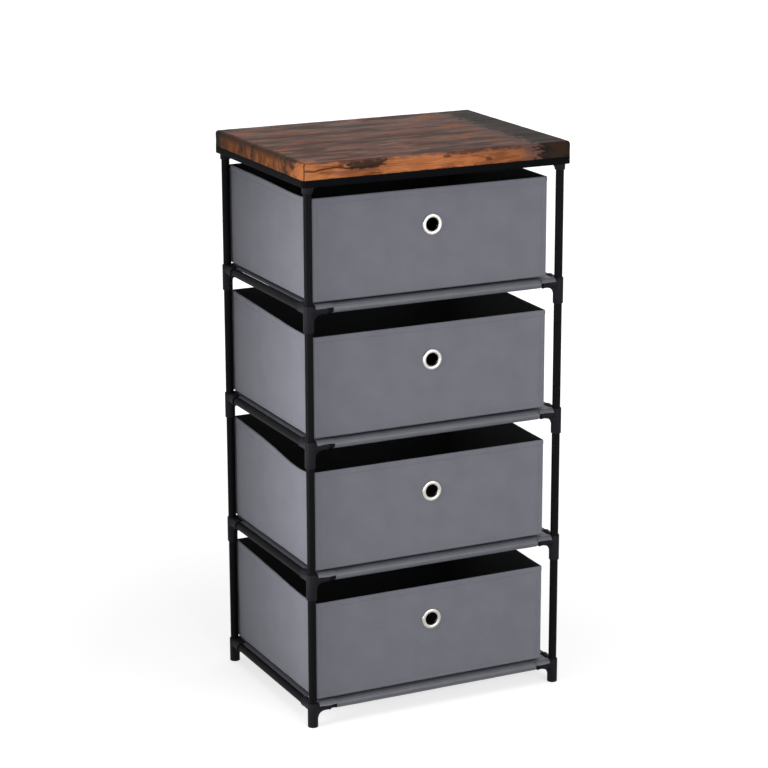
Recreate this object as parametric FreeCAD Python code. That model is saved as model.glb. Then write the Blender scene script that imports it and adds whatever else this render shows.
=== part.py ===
"""Fabric drawer dresser: tube frame, moulded corner connectors, shelf cloths, fabric bins, board top.

Millimetres. +Z is up and the front faces -Y. The origin is on the floor, at the middle of the footprint.
Frame levels count up from the floor; drawers count down from the top.
"""
import FreeCAD
import Part
import math
import os

V = FreeCAD.Vector
X_AXIS, Y_AXIS, Z_AXIS = V(1, 0, 0), V(0, 1, 0), V(0, 0, 1)

# ---- driving dimensions: frame ----
POST_SPAN_X = 432.0          # upright axis to upright axis, side to side
POST_SPAN_Y = 318.0          # upright axis to upright axis, front to back
TIER_PITCH = 214.0           # sleeve top to sleeve top
TIERS = 4
TUBE_D = 13.0
TUBE_WALL = 0.8
SLEEVE_D = 16.5              # upright sleeve of a connector
SLEEVE_LENGTH = 42.0
FOOT_LENGTH = 40.0           # sleeve of a foot connector, down to the floor
TOP_LENGTH = 25.5            # sleeve of a top connector, up to its closed cap
ARM_D = 15.4
ARM_DROP = 7.8               # arm axis below the top of the sleeve
ARM_REACH = 29.5             # arm end from the upright axis
LIP_D = 16.4                 # an arm flares to this at its mouth
LIP_WIDTH = 3.0
SOCKET_DEPTH = 20.0
SOCKET_CLEARANCE = 0.1       # on the radius, tube to socket
GUSSET_REACH = 12.0          # web under an arm, out from the sleeve
GUSSET_DROP = 12.0           # and down from the arm
GUSSET_HOLLOW = 1.8          # how far the web's free edge curves in from a straight line
GUSSET_THICKNESS = 4.0
GUSSET_ROOT = 3.0            # how deep the web is rooted in the sleeve and the arm
FLATS = 12                   # what is round is drawn with this many flats, to keep it light

# ---- driving dimensions: shelf cloths ----
CLOTH = 0.6
CLOTH_EASE = 0.1             # between the cloth and what it wraps
RAIL_SLEEVE_LEFT = 39.0      # start of the sewn rail sleeve, from the left upright axis
RAIL_SLEEVE_RIGHT = 34.0     # and its end, from the right upright axis
CLOTH_EDGE_GAP = 0.5         # cloth to connector
CLOTH_SIDE_INSET = 2.0       # side edges, laid over the side rails, from the upright axes

# ---- driving dimensions: drawers ----
BIN_WIDTH = 404.0
BIN_DEPTH = 316.0
BIN_HEIGHT = 160.0
BIN_WALL = 2.5
BIN_CORNER = 3.0             # upright edges, taken off at 45 degrees
BIN_SHIFT_X = -6.0           # the bins stand nearer the left uprights
BIN_SET_BACK = 3.0           # front face behind the upright axes
BIN_LIFT = 2.2               # floor above the sleeve tops, clear of the cloth's flaps
HEM_HEIGHT = 9.0             # folded rim
HEM_EXTRA = 0.5              # how far the fold stands proud inside
BASE_GAP = 1.5               # base board to bin wall
BASE_THICKNESS = 3.0
HOLE_BELOW_RIM = 57.0        # finger hole centre
GROMMET_FLANGE_D = 33.5
GROMMET_HOLE_D = 21.0
GROMMET_BARREL_D = 24.0
GROMMET_CROWN = 2.2          # how far the domed flange stands out
GROMMET_CROWN_WIDTH = 2.5    # flat on top of the dome
GROMMET_RIM = 0.6            # height of the flange at its outer edge
GROMMET_WASHER_D = 29.5      # plate behind the panel
GROMMET_WASHER = 1.0
HOLE_EASE = 0.2

# ---- driving dimensions: top ----
BOARD_OVERHANG = 12.5        # beyond the upright axes
TOTAL_HEIGHT = 900.0
BOARD_FACE = 25.0            # depth of the wood-look edge
BAND_HEIGHT = 11.0           # dark strip below it
BOARD_RIM = 3.0              # wall of the rebate
BOARD_TOP_EDGE = 4.0         # upper edges, taken off at 45 degrees
BOARD_CORNER = 3.0           # and upright corners

TINY = 1e-6                  # for comparing lengths

# ---- worked out ----
POST_X, POST_Y = POST_SPAN_X / 2, POST_SPAN_Y / 2
SLEEVE_R, TUBE_R = SLEEVE_D / 2, TUBE_D / 2
BOARD_W = POST_SPAN_X + 2 * BOARD_OVERHANG
BOARD_D = POST_SPAN_Y + 2 * BOARD_OVERHANG
BAND_BOTTOM = TOTAL_HEIGHT - BOARD_FACE - BAND_HEIGHT
TOP_SLEEVE_TOP = FOOT_LENGTH + TIERS * TIER_PITCH - SLEEVE_LENGTH + TOP_LENGTH
CORNERS = {
    "front_left": (-1, -1, 0),
    "front_right": (1, -1, 90),
    "back_right": (1, 1, 180),
    "back_left": (-1, 1, 270),
}


def sleeve_top(level):
    """Height of the sleeve tops at a frame level, 1 at the floor to TIERS + 1 under the top."""
    if level == TIERS + 1:
        return TOP_SLEEVE_TOP
    return FOOT_LENGTH + (level - 1) * TIER_PITCH


# ---- small helpers ----
def round_corners(diameter, centre, axis):
    """Corners of the polygon drawn for a circle: diameter across its flats, which face the main axes."""
    across = V(axis.y, axis.z, axis.x)
    along = axis.cross(across)
    reach = diameter / 2 / math.cos(math.pi / FLATS)
    turns = [2 * math.pi * (flat + 0.5) / FLATS for flat in range(FLATS)]
    return [centre + across * (reach * math.cos(t)) + along * (reach * math.sin(t)) for t in turns]


def face(corners):
    return Part.Face(Part.makePolygon(corners + corners[:1]))


def flats_between(near, far):
    """Four-sided faces that join two such polygons."""
    count = len(near)
    return [face([near[i - count], near[i + 1 - count], far[i + 1 - count], far[i - count]])
            for i in range(count)]


def solid(faces):
    shell = Part.makeShell(faces)
    shell.sewShape()
    return Part.makeSolid(shell)


def rod(diameter, length, start, axis):
    """Round member along a main axis."""
    return face(round_corners(diameter, start, axis)).extrude(axis * length)


def flare(start_diameter, end_diameter, length, start, axis):
    """Round member that widens evenly from one end to the other."""
    near = round_corners(start_diameter, start, axis)
    far = round_corners(end_diameter, start + axis * length, axis)
    return solid([face(near), face(far)] + flats_between(near, far))


def tube(length, start, axis):
    """Steel tube, open at both ends."""
    return rod(TUBE_D, length, start, axis).cut(rod(TUBE_D - 2 * TUBE_WALL, length, start, axis))


def turned(half_section, centre, axis):
    """Ring about an axis, from its section as (radius, distance along the axis) pairs."""
    rings = [round_corners(2 * radius, centre + axis * along, axis) for radius, along in half_section]
    pairs = zip(rings, rings[1:] + rings[:1])
    return solid([flat for near, far in pairs for flat in flats_between(near, far)]).removeSplitter()


def slab(width, depth, bottom, height, corner=0.0):
    """Upright slab centred on the Z axis, its upright corners taken off at 45 degrees."""
    block = Part.makeBox(width, depth, height, V(-width / 2, -depth / 2, bottom))
    upright = [e for e in block.Edges if abs(e.BoundBox.ZLength - height) < TINY]
    return block.makeChamfer(corner, upright) if corner else block


def export(node, shapes):
    """Writes a node; pieces that share it stay separate solids."""
    shape = shapes if isinstance(shapes, Part.Shape) else Part.makeCompound(shapes)
    shape.exportStep("parts/" + node + ".step")


# ---- connectors ----
def connector_arm(direction):
    """One arm, flared at its mouth."""
    start, straight = V(0, 0, -ARM_DROP), ARM_REACH - LIP_WIDTH
    arm = rod(ARM_D, straight, start, direction)
    return arm.fuse(flare(ARM_D, LIP_D, LIP_WIDTH, start + direction * straight, direction))


def connector_gusset(direction, drop):
    """Web in the corner under an arm, its free edge bent in towards the corner."""
    side = Z_AXIS.cross(direction) * (GUSSET_THICKNESS / 2)
    underside = -ARM_DROP - ARM_D / 2

    def at(out, height):
        return direction * out + V(0, 0, height) - side

    root, reach = SLEEVE_R - GUSSET_ROOT, SLEEVE_R + GUSSET_REACH
    outer = at(reach, underside)
    lower = at(SLEEVE_R, underside - drop)
    middle = (outer + lower) / 2
    to_corner = at(SLEEVE_R, underside) - middle
    to_corner.normalize()
    outline = [
        lower,
        at(root, underside - drop),
        at(root, underside + GUSSET_ROOT),
        at(reach, underside + GUSSET_ROOT),
        outer,
        middle + to_corner * GUSSET_HOLLOW,
    ]
    return face(outline).extrude(side * 2)


def connector(length, open_top, open_bottom):
    """Corner connector with its upright axis on Z, its top at z = 0 and its arms along +X and +Y."""
    body = rod(SLEEVE_D, length, V(0, 0, -length), Z_AXIS)
    drop = min(GUSSET_DROP, length - ARM_DROP - ARM_D / 2)
    for direction in (X_AXIS, Y_AXIS):
        body = body.fuse([connector_arm(direction), connector_gusset(direction, drop)])
    socket_d = TUBE_D + 2 * SOCKET_CLEARANCE
    sockets = [
        rod(socket_d, SOCKET_DEPTH, direction * (ARM_REACH - SOCKET_DEPTH) + V(0, 0, -ARM_DROP), direction)
        for direction in (X_AXIS, Y_AXIS)
    ]
    if open_top:
        sockets.append(rod(socket_d, SOCKET_DEPTH, V(0, 0, -SOCKET_DEPTH), Z_AXIS))
    if open_bottom:
        sockets.append(rod(socket_d, SOCKET_DEPTH, V(0, 0, -length), Z_AXIS))
    return body.cut(sockets).removeSplitter()


def placed_at_corners(shape, top):
    """The same connector at all four corners, turned so that its arms point inwards."""
    placed = []
    for side_x, side_y, turn in CORNERS.values():
        copy = shape.copy()
        copy.rotate(V(0, 0, 0), Z_AXIS, turn)
        copy.translate(V(side_x * POST_X, side_y * POST_Y, top))
        placed.append(copy)
    return placed


def make_connectors():
    foot = connector(FOOT_LENGTH, open_top=True, open_bottom=False)
    middle = connector(SLEEVE_LENGTH, open_top=True, open_bottom=True)
    top = connector(TOP_LENGTH, open_top=False, open_bottom=True)
    export("foot_connectors", placed_at_corners(foot, sleeve_top(1)))
    for level in range(2, TIERS + 1):
        export("corner_connectors_level_%d" % level, placed_at_corners(middle, sleeve_top(level)))
    export("top_connectors", placed_at_corners(top, sleeve_top(TIERS + 1)))


# ---- tubes ----
def make_uprights():
    """One tube per corner and tier, pushed into the sockets above and below it."""
    length = TIER_PITCH - SLEEVE_LENGTH + 2 * SOCKET_DEPTH
    for corner, (side_x, side_y, _) in CORNERS.items():
        for tier in range(1, TIERS + 1):
            start = V(side_x * POST_X, side_y * POST_Y, sleeve_top(tier) - SOCKET_DEPTH)
            export("upright_%s_%d" % (corner, tier), tube(length, start, Z_AXIS))


def make_rails():
    """Four rails at every level, pushed into the connector arms."""
    inset = ARM_REACH - SOCKET_DEPTH
    along_x = POST_SPAN_X - 2 * inset
    along_y = POST_SPAN_Y - 2 * inset
    for level in range(1, TIERS + 2):
        height = sleeve_top(level) - ARM_DROP
        runs = {
            "front": (along_x, V(-POST_X + inset, -POST_Y, height), X_AXIS),
            "back": (along_x, V(-POST_X + inset, POST_Y, height), X_AXIS),
            "left": (along_y, V(-POST_X, -POST_Y + inset, height), Y_AXIS),
            "right": (along_y, V(POST_X, -POST_Y + inset, height), Y_AXIS),
        }
        for side, run in runs.items():
            export("%s_rail_level_%d" % (side, level), tube(*run))


# ---- shelf cloths ----
def ring(inner_r, start_x, end_x, y):
    """Tube of cloth along a front or back rail, with the sleeve tops at z = 0."""
    centre = V(start_x, y, -ARM_DROP)
    outer = rod(2 * (inner_r + CLOTH), end_x - start_x, centre, X_AXIS)
    return outer.cut(rod(2 * inner_r, end_x - start_x, centre, X_AXIS))


def arm_flap(start_x, end_x, side_y, sheet_bottom):
    """Corner of the sheet, folded up over an arm and down its outer side to the height of its axis."""
    clear = LIP_D / 2 + CLOTH_EASE
    fold = [
        (-clear - CLOTH, sheet_bottom),
        (-clear, sheet_bottom),
        (-clear, -ARM_DROP + clear),
        (clear, -ARM_DROP + clear),
        (clear, -ARM_DROP),
        (clear + CLOTH, -ARM_DROP),
        (clear + CLOTH, -ARM_DROP + clear + CLOTH),
        (-clear - CLOTH, -ARM_DROP + clear + CLOTH),
    ]
    outline = [V(start_x, side_y * (POST_Y + out), height) for out, height in fold]
    return face(outline).extrude(V(end_x - start_x, 0, 0))


def shelf_cloth():
    """Sheet sewn into a sleeve round the front rail and the back rail, laid over the arms and side rails."""
    sheet_half = POST_X - SLEEVE_R - CLOTH_EDGE_GAP
    sleeve_start, sleeve_end = -POST_X + RAIL_SLEEVE_LEFT, POST_X - RAIL_SLEEVE_RIGHT
    sheet_bottom = -ARM_DROP + TUBE_R + CLOTH_EASE
    cloth = Part.makeBox(2 * sheet_half, POST_SPAN_Y, CLOTH, V(-sheet_half, -POST_Y, sheet_bottom))
    for side_y in (-1, 1):
        y = side_y * POST_Y
        cloth = cloth.fuse(ring(TUBE_R + CLOTH_EASE, sleeve_start, sleeve_end, y))
        for start_x, end_x in ((-sheet_half, sleeve_start), (sleeve_end, sheet_half)):
            room = LIP_D + 2 * CLOTH_EASE
            arm_room = Part.makeBox(end_x - start_x, room, room,
                                    V(start_x, y - room / 2, -ARM_DROP - room / 2))
            cloth = cloth.cut(arm_room).fuse(arm_flap(start_x, end_x, side_y, sheet_bottom))
    wide, deep = POST_X - CLOTH_SIDE_INSET, POST_Y - ARM_REACH - CLOTH_EDGE_GAP
    over_side_rails = Part.makeBox(2 * wide, 2 * deep, CLOTH, V(-wide, -deep, sheet_bottom))
    return cloth.fuse(over_side_rails).removeSplitter()


def make_shelf_cloths():
    cloth = shelf_cloth()
    for level in range(1, TIERS + 1):
        copy = cloth.copy()
        copy.translate(V(0, 0, sleeve_top(level)))
        export("shelf_cloth_level_%d" % level, copy)


# ---- drawers ----
def bin_shell():
    """Open sewn box with a folded rim and a finger hole, front face at y = 0, floor at z = 0."""
    def hollow(inset, bottom, top):
        return slab(BIN_WIDTH - 2 * inset, BIN_DEPTH - 2 * inset, bottom, top - bottom)

    hem_bottom = BIN_HEIGHT - HEM_HEIGHT
    shell = slab(BIN_WIDTH, BIN_DEPTH, 0, BIN_HEIGHT, BIN_CORNER)
    shell = shell.cut([
        hollow(BIN_WALL, BIN_WALL, hem_bottom),
        hollow(BIN_WALL + HEM_EXTRA, hem_bottom, BIN_HEIGHT),
    ])
    shell.translate(V(0, BIN_DEPTH / 2, 0))
    hole_d = GROMMET_BARREL_D + 2 * HOLE_EASE
    hole = rod(hole_d, 2 * BIN_WALL, V(0, -BIN_WALL / 2, BIN_HEIGHT - HOLE_BELOW_RIM), Y_AXIS)
    return shell.cut(hole)


def base_board():
    """Stiff board that lies loose on the floor of the bin."""
    inset = BIN_WALL + BASE_GAP
    width, depth = BIN_WIDTH - 2 * inset, BIN_DEPTH - 2 * inset
    return Part.makeBox(width, depth, BASE_THICKNESS, V(-width / 2, inset, BIN_WALL))


def grommet():
    """Domed ring, barrel through the panel and washer behind it, as one pressed part."""
    hole_r, barrel_r = GROMMET_HOLE_D / 2, GROMMET_BARREL_D / 2
    flange_r, washer_r = GROMMET_FLANGE_D / 2, GROMMET_WASHER_D / 2
    crown_in = (hole_r + flange_r - GROMMET_CROWN_WIDTH) / 2
    back = BIN_WALL + GROMMET_WASHER
    half_section = [
        (hole_r, back),
        (hole_r, -GROMMET_CROWN / 2),
        (crown_in, -GROMMET_CROWN),
        (crown_in + GROMMET_CROWN_WIDTH, -GROMMET_CROWN),
        (flange_r, -GROMMET_RIM),
        (flange_r, 0),
        (barrel_r, 0),
        (barrel_r, BIN_WALL),
        (washer_r, BIN_WALL),
        (washer_r, back),
    ]
    return turned(half_section, V(0, 0, BIN_HEIGHT - HOLE_BELOW_RIM), Y_AXIS)


def make_drawers():
    pieces = {"bin": bin_shell(), "base_board": base_board(), "grommet": grommet()}
    for drawer in range(1, TIERS + 1):
        floor = sleeve_top(TIERS + 1 - drawer) + BIN_LIFT
        for name, piece in pieces.items():
            copy = piece.copy()
            copy.translate(V(BIN_SHIFT_X, -POST_Y + BIN_SET_BACK, floor))
            export("drawer_%d_%s" % (drawer, name), copy)


# ---- top ----
def make_top_board():
    """Wood-look board: its rebated underside drops over the top connectors and rests on their arms."""
    bottom = BAND_BOTTOM + BAND_HEIGHT
    board = slab(BOARD_W, BOARD_D, bottom, BOARD_FACE, BOARD_CORNER)
    upper = [e for e in board.Edges if e.BoundBox.ZMin > TOTAL_HEIGHT - TINY]
    board = board.makeChamfer(BOARD_TOP_EDGE, upper)
    arm_tops = TOP_SLEEVE_TOP - ARM_DROP + LIP_D / 2
    rebate = slab(BOARD_W - 2 * BOARD_RIM, BOARD_D - 2 * BOARD_RIM, bottom, arm_tops - bottom)
    export("top_board", board.cut(rebate))


def make_edge_band():
    outer = slab(BOARD_W, BOARD_D, BAND_BOTTOM, BAND_HEIGHT, BOARD_CORNER)
    inner = slab(BOARD_W - 2 * BOARD_RIM, BOARD_D - 2 * BOARD_RIM, BAND_BOTTOM, BAND_HEIGHT)
    export("edge_band", outer.cut(inner))


os.makedirs("parts", exist_ok=True)
make_uprights()
make_rails()
make_connectors()
make_shelf_cloths()
make_drawers()
make_top_board()
make_edge_band()
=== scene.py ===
"""Looks of a fabric drawer dresser, built round its packed construction.

Steel tubes in moulded corner connectors carry four shelf cloths, four sewn fabric drawers and a
wood-look top. Metres throughout. +Z is up and the front faces -Y.
"""
import math
from collections import namedtuple

import bmesh
import bpy
from mathutils import Matrix, Vector, noise


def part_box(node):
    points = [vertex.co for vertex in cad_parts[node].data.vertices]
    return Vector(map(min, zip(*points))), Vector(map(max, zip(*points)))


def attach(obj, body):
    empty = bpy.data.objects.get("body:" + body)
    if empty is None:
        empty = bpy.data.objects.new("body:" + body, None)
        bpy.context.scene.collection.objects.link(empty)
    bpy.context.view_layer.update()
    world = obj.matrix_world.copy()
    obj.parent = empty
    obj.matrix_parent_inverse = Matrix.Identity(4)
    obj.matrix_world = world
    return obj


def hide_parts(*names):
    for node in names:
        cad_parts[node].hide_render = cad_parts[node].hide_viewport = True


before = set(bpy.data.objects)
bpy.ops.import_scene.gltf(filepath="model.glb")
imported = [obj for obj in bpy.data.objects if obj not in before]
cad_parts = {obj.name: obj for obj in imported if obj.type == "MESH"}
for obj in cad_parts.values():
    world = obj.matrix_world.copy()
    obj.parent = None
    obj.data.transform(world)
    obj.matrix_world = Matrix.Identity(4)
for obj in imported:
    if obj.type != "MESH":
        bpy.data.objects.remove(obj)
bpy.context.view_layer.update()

bl_info = {
    "name": "Fabric Drawer Dresser",
    "version": (1, 0, 0),
    "blender": (4, 5, 0),
    "location": "3D View > Sidebar > Dresser",
    "description": "Builds the tubes, connectors, cloths, drawers and top of a fabric drawer dresser",
    "category": "Add Mesh",
}

MM = 0.001
TIERS = 4
# how far the connectors are turned at each corner, in degrees
CORNERS = {"front_left": 0.0, "front_right": 90.0, "back_right": 180.0, "back_left": 270.0}
ROUND_STEPS = 48        # facets round a tube, sleeve or ring
CORNER_STEPS = 6        # facets round a corner of a drawer or of the board
# how far each drawer's rim stands up at the back, and sags on the left, in millimetres
RIMS = {1: (0.0, 3.5), 2: (8.0, 3.0), 3: (9.0, 10.0), 4: (9.5, 4.0)}


# ---- colours and properties ----
def srgb(code):
    """Linear red, green and blue of a hex colour."""
    channels = [int(code[start:start + 2], 16) / 255 for start in (1, 3, 5)]
    return [c / 12.92 if c <= 0.04045 else ((c + 0.055) / 1.055) ** 2.4 for c in channels]


def length_property(name, description, millimetres):
    return bpy.props.FloatProperty(name=name, description=description, default=millimetres * MM,
                                   precision=5, unit="LENGTH")


def colour_property(name, description, code):
    return bpy.props.FloatVectorProperty(name=name, description=description, default=srgb(code),
                                         size=3, min=0.0, max=1.0, subtype="COLOR")


class FrameSizes(bpy.types.PropertyGroup):
    tube_diameter: length_property("Tube", "Outer diameter of uprights and rails", 13.0)
    tube_wall: length_property("Tube wall", "Wall of uprights and rails", 0.8)
    sleeve_diameter: length_property("Sleeve", "Upright sleeve of a connector", 16.5)
    sleeve_chamfer: length_property("Sleeve chamfer", "Broken edge at both ends of a sleeve", 0.9)
    arm_diameter: length_property("Arm", "Arm of a connector", 15.4)
    arm_drop: length_property("Arm drop", "Arm axis below the top of the sleeve", 7.8)
    arm_reach: length_property("Arm reach", "Arm end from the upright axis", 29.5)
    lip_diameter: length_property("Lip", "Ring at the mouth of an arm", 16.4)
    lip_width: length_property("Lip width", "Width of that ring", 3.0)
    socket_diameter: length_property("Socket", "Bore that takes a tube", 13.2)
    socket_depth: length_property("Socket depth", "How far a tube goes in", 20.0)
    gusset_reach: length_property("Gusset reach", "Web under an arm, out from the sleeve", 12.0)
    gusset_drop: length_property("Gusset drop", "Web under an arm, down from the arm", 12.0)
    gusset_thickness: length_property("Gusset thickness", "Thickness of that web", 4.4)


class ClothSizes(bpy.types.PropertyGroup):
    thickness: length_property("Cloth", "Thickness of the shelf cloth", 0.6)
    ease: length_property("Ease", "Air between the cloth and what it wraps", 0.1)
    sleeve_left: length_property("Sleeve start", "Rail sleeve from the left upright axis", 39.0)
    sleeve_right: length_property("Sleeve end", "Rail sleeve from the right upright axis", 34.0)
    gap: length_property("Gap", "Cloth to connector", 0.5)
    wrinkle: length_property("Wrinkle", "Height of the small creases along a rail", 0.35)


class DrawerSizes(bpy.types.PropertyGroup):
    wall: length_property("Wall", "Thickness of a drawer's padded wall", 2.5)
    corner_radius: length_property("Corner", "Rounding of the upright corners", 3.0)
    hem: length_property("Hem", "Height of the folded rim", 9.0)
    seam_inset: length_property("Seam inset", "Upright seams from the corners", 7.0)
    bulge: length_property("Bulge", "How far a panel stands out at its middle", 0.9)
    back_fullness: length_property("Back fullness", "How far what is inside pushes out the soft back", 5.0)
    hole_below_rim: length_property("Finger hole", "Centre of the hole below the rim", 57.0)
    hole_diameter: length_property("Hole", "Diameter of the hole in the fabric", 25.0)
    grommet_flange: length_property("Grommet flange", "Outer diameter of the ring", 33.5)
    grommet_bore: length_property("Grommet bore", "Inner diameter of the ring", 21.0)
    grommet_crown: length_property("Grommet crown", "How far the ring stands out", 2.2)
    stitch_pitch: length_property("Stitch pitch", "One stitch to the next", 3.6)
    stitch_length: length_property("Stitch", "Visible length of a stitch", 2.6)
    thread_diameter: length_property("Thread", "Diameter of the sewing thread", 0.5)
    seed: bpy.props.IntProperty(name="Seed", description="Which creases the fabric gets", default=7)


class BoardSizes(bpy.types.PropertyGroup):
    rim: length_property("Rim", "Wall of the rebate under the board", 3.0)
    edge_radius: length_property("Edge radius", "Rounding of the upper edges", 5.0)
    corner_radius: length_property("Corner radius", "Rounding of the upright corners", 5.0)
    hewn: length_property("Hewn depth", "How uneven the edges are", 0.5)


class Finishes(bpy.types.PropertyGroup):
    powder_black: colour_property("Powder coat", "Tubes", "#0c0c0e")
    moulded_black: colour_property("Moulded black", "Connectors", "#17171b")
    outer_grey: colour_property("Outer grey", "Outside of drawers", "#696a72")
    shelf_grey: colour_property("Shelf grey", "Shelf cloths", "#515259")
    lining_black: colour_property("Lining black", "Inside of drawers", "#121317")
    thread_grey: colour_property("Thread", "Sewing thread", "#7d8087")
    nickel: colour_property("Nickel", "Grommets", "#b0ada7")
    band_black: colour_property("Band", "Strip below the board", "#0c0d0f")
    wood_char: colour_property("Burnt wood", "Burnt ends and cracks of the print", "#1f1a18")
    wood_dark: colour_property("Weathered wood", "Dark stretches of the print", "#31231b")
    wood_umber: colour_property("Umber wood", "Shaded parts of the edges", "#5e361d")
    wood_brown: colour_property("Brown wood", "Top of the print", "#574541")
    wood_red: colour_property("Red wood", "Streaks of the print", "#754739")
    wood_pale: colour_property("Pale wood", "Worn streaks of the print", "#8a6a5d")
    wood_orange: colour_property("Orange wood", "Edges of the print", "#8c522f")
    wood_light: colour_property("Light wood", "Highlights of the edges", "#b57144")


def settings(group):
    """One of the add-on's property groups: frame, cloth, drawer, board or finishes."""
    return getattr(bpy.context.scene, "dresser_" + group)


# ---- node helpers ----
MIX_A, MIX_B, MIX_RESULT = 6, 7, 2      # colour sockets of the Mix node


def add_node(tree, kind, inputs=None, stops=(), **fields):
    """Adds a node, sets its fields, and fills or links its inputs, which are named or numbered.

    A node or a reading given as an input is linked by its first output. Stops are those of a colour ramp.
    """
    node = tree.nodes.new(kind)
    for name, value in fields.items():
        setattr(node, name, value)
    for name, value in (inputs or {}).items():
        if isinstance(value, (bpy.types.Node, Reading)):
            value = value.outputs[0]
        if isinstance(value, bpy.types.NodeSocket):
            tree.links.new(value, node.inputs[name])
        else:
            node.inputs[name].default_value = value
    if stops:
        ramp = node.color_ramp.elements
        for _ in stops[2:]:
            ramp.new(1.0)
        for element, (position, colour) in zip(ramp, stops):
            element.position, element.color = position, colour
    return node


class Reading:
    """A number that varies over a surface. Arithmetic on it adds the nodes that work it out."""

    def __init__(self, tree, output):
        self.tree, self.outputs = tree, [output]

    def worked(self, operation, *others):
        """This and the others put through one operation."""
        node = add_node(self.tree, "ShaderNodeMath", dict(enumerate((self, *others))), operation=operation)
        return Reading(self.tree, node.outputs[0])

    def between(self, start, end, low=0.0, high=1.0):
        """Passes smoothly from low to high while this passes from start to end."""
        node = add_node(self.tree, "ShaderNodeMapRange", {
            "Value": self, "From Min": start, "From Max": end, "To Min": low, "To Max": high},
            interpolation_type="SMOOTHSTEP")
        return Reading(self.tree, node.outputs[0])

    def __add__(self, other):
        return self.worked("ADD", other)

    def __sub__(self, other):
        return self.worked("SUBTRACT", other)

    def __mul__(self, other):
        return self.worked("MULTIPLY", other)

    def __abs__(self):
        return self.worked("ABSOLUTE")

    def least(self, other):
        return self.worked("MINIMUM", other)

    def most(self, other):
        return self.worked("MAXIMUM", other)


def made_once(draw):
    """Turns a function that draws a shader into one that gives the finished material of its name."""
    def material_of(*values):
        name = draw.__name__
        if name not in bpy.data.materials:
            material = bpy.data.materials.new(name)
            material.use_nodes = True
            material.node_tree.nodes.clear()
            shader = draw(material.node_tree, *values)
            add_node(material.node_tree, "ShaderNodeOutputMaterial", {"Surface": shader})
        return bpy.data.materials[name]
    return material_of


def rgba(finish):
    """Colour of a named finish, for a socket or a ramp."""
    return (*getattr(settings("finishes"), finish), 1.0)


# ---- materials ----
def grained(tree, finish, mark, detail, relief, roughness, **sockets):
    """Shader of a plain finish with a fine grain that lifts its surface and can vary its roughness.

    mark is the size of the grain's marks along each axis and relief the bump's strength and its height, all
    in millimetres. roughness is one number, or the grain's lows and highs and the roughness at each.
    """
    place = add_node(tree, "ShaderNodeTexCoord").outputs["Object"]
    scale = [1 / (size * MM) for size in mark]
    scaled = add_node(tree, "ShaderNodeMapping", {"Vector": place, "Scale": scale})
    grain = add_node(tree, "ShaderNodeTexNoise", {"Vector": scaled, "Scale": 1.0, "Detail": detail})
    bump = add_node(tree, "ShaderNodeBump", {
        "Height": grain, "Strength": relief[0], "Distance": relief[1] * MM})
    if isinstance(roughness, tuple):
        roughness = add_node(tree, "ShaderNodeMapRange", dict(enumerate((grain, *roughness))))
    named = {name.replace("_", " "): value for name, value in sockets.items()}
    return add_node(tree, "ShaderNodeBsdfPrincipled", {
        "Base Color": rgba(finish), "Roughness": roughness, "Normal": bump, **named})


@made_once
def black_powder_coated_steel(tree):
    """Powder coat cured on steel tube: a satin black with faint orange peel that softens highlights."""
    return grained(tree, "powder_black", (2.222, 2.222, 2.222), 2.0, (0.25, 0.05), (0.3, 0.7, 0.4, 0.5),
                   IOR=1.3, Specular_IOR_Level=0.07)


@made_once
def moulded_polypropylene_black(tree):
    """Injection-moulded polypropylene from a spark-eroded tool: finely grained, duller than the tubes."""
    return grained(tree, "moulded_black", (0.7143, 0.7143, 0.7143), 3.0, (0.35, 0.06), (0.3, 0.7, 0.46, 0.6),
                   IOR=1.35, Specular_IOR_Level=0.1)


@made_once
def polyester_sewing_thread(tree):
    """Twisted polyester thread: slightly lustrous, a little lighter than the cloth it holds."""
    return grained(tree, "thread_grey", (0.4, 0.4, 0.4), 1.0, (0.4, 0.05), 0.55)


@made_once
def nickel_plated_brass(tree):
    """Pressed and tumbled nickel plate: bright, slightly warm, its reflections blurred by fine rubbing."""
    return grained(tree, "nickel", (3.846, 3.846, 3.846), 6.0, (0.2, 0.03), (0.35, 0.65, 0.2, 0.34),
                   Metallic=1.0)


@made_once
def black_brown_pvc_edge(tree):
    """Extruded strip under the board: a flat black-brown with faint draw lines along it."""
    return grained(tree, "band_black", (16.67, 16.67, 0.8333), 3.0, (0.2, 0.05), (0.3, 0.7, 0.5, 0.65),
                   IOR=1.2, Specular_IOR_Level=0.05)


def dyed_cloth(tree, finish, tone, surface, relief, sockets):
    """Shader of a cloth dyed unevenly by its tone. relief is its surface's strength and height as a bump."""
    dyed = add_node(tree, "ShaderNodeVectorMath", {0: rgba(finish)[:3], "Scale": tone}, operation="SCALE")
    bump = add_node(tree, "ShaderNodeBump", {
        "Height": surface, "Strength": relief[0], "Distance": relief[1] * MM})
    return add_node(tree, "ShaderNodeBsdfPrincipled", {"Base Color": dyed, "Normal": bump, **sockets})


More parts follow.
